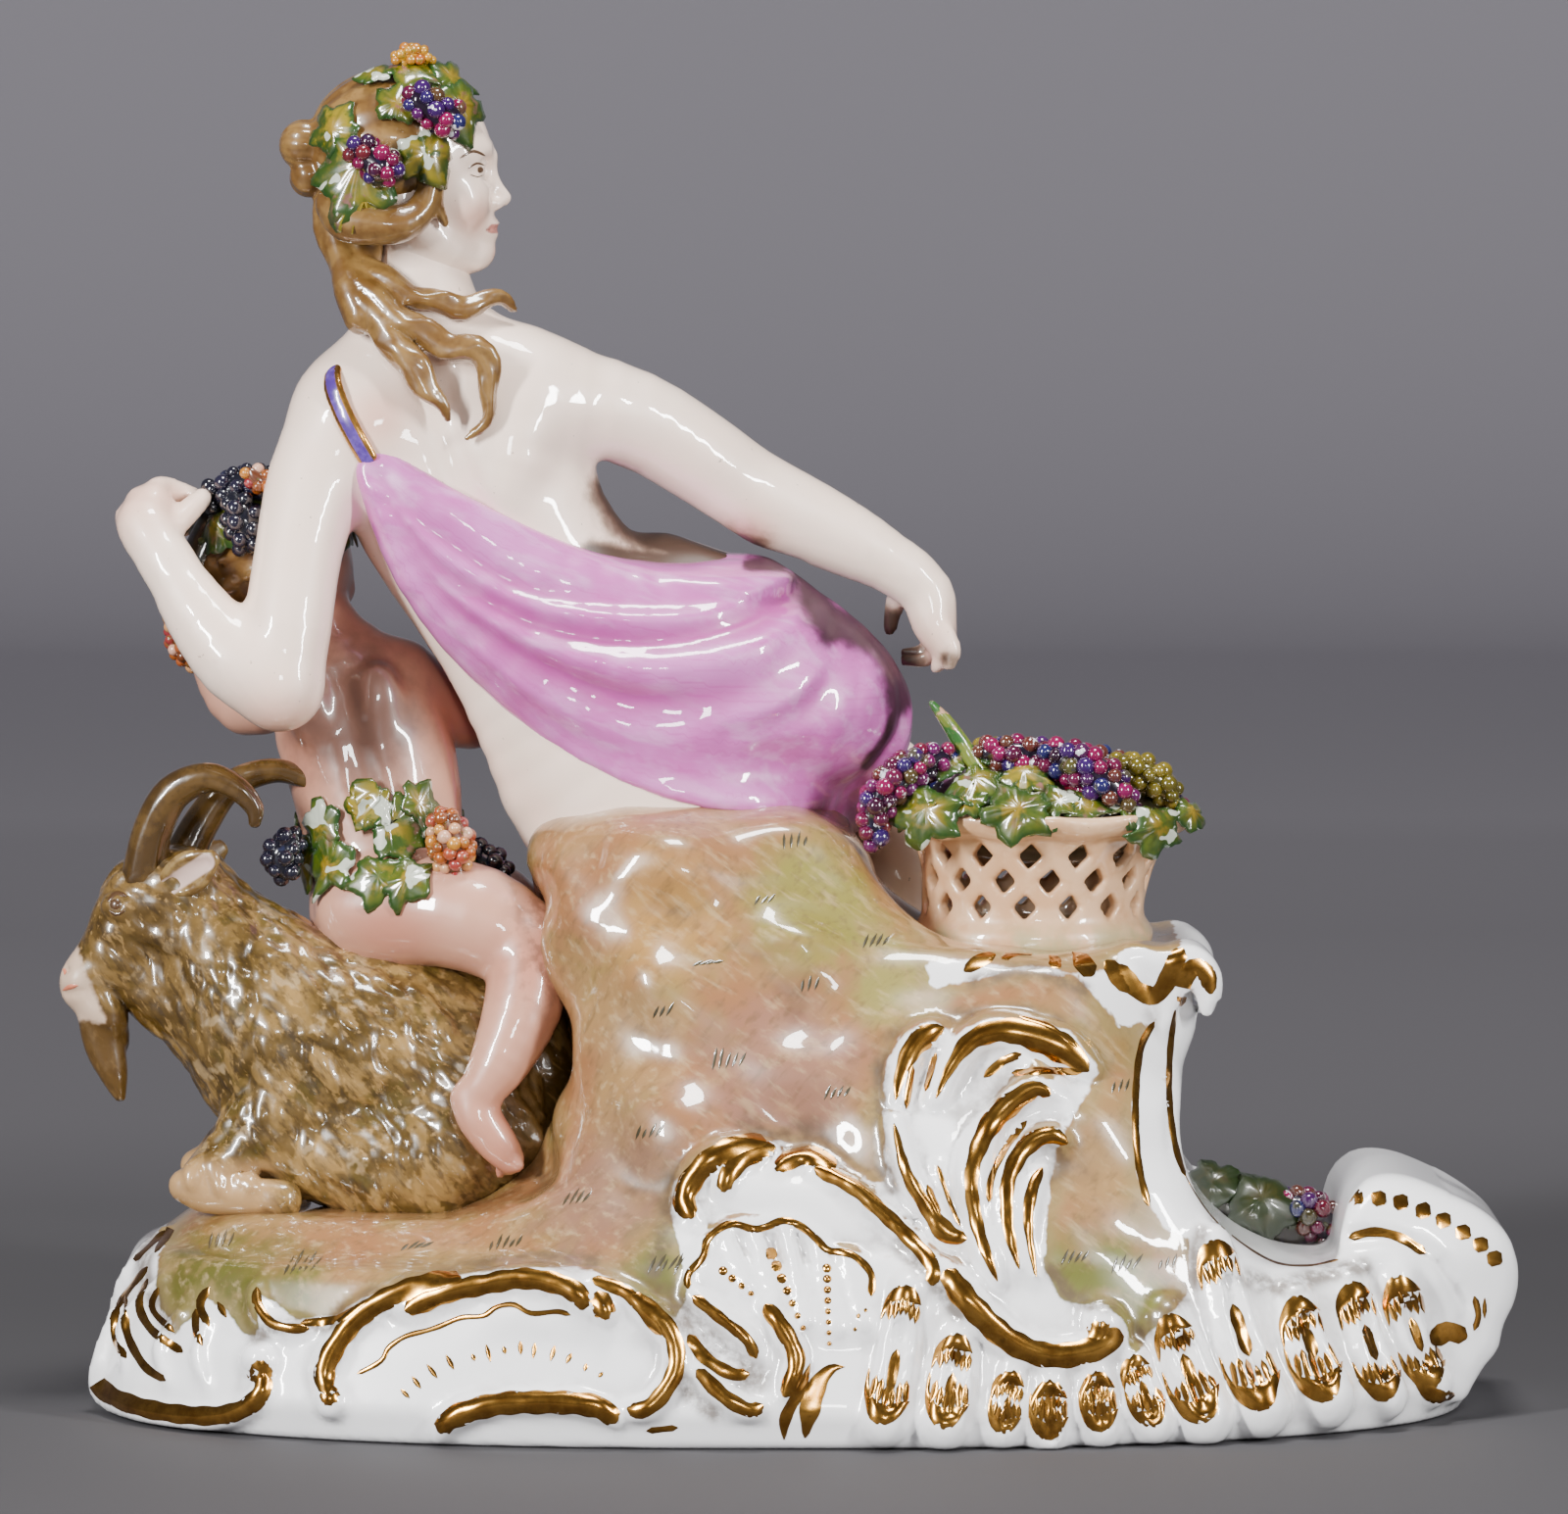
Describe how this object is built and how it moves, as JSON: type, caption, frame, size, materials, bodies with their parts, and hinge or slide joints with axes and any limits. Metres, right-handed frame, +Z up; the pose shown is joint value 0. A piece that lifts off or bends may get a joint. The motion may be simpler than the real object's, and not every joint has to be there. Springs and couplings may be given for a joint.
{
  "type": "porcelain figure group",
  "caption": "Porcelain group of a draped nymph on a rock beside a child riding a goat and a pierced fruit basket, on a scrolled gilt base.",
  "frame": {"origin": "middle of the flat underside of the base", "axes": "+X along the base from the goat to the basket, +Y from the nymph's back to her front, +Z up"},
  "size_m": [0.1668, 0.0884, 0.1553],
  "materials": {
    "glazed_porcelain": "clear gloss glaze over painted enamels and gilding"
  },
  "bodies": {
    "root": {"figure_group": "glazed_porcelain"}
  },
  "joints": []
}
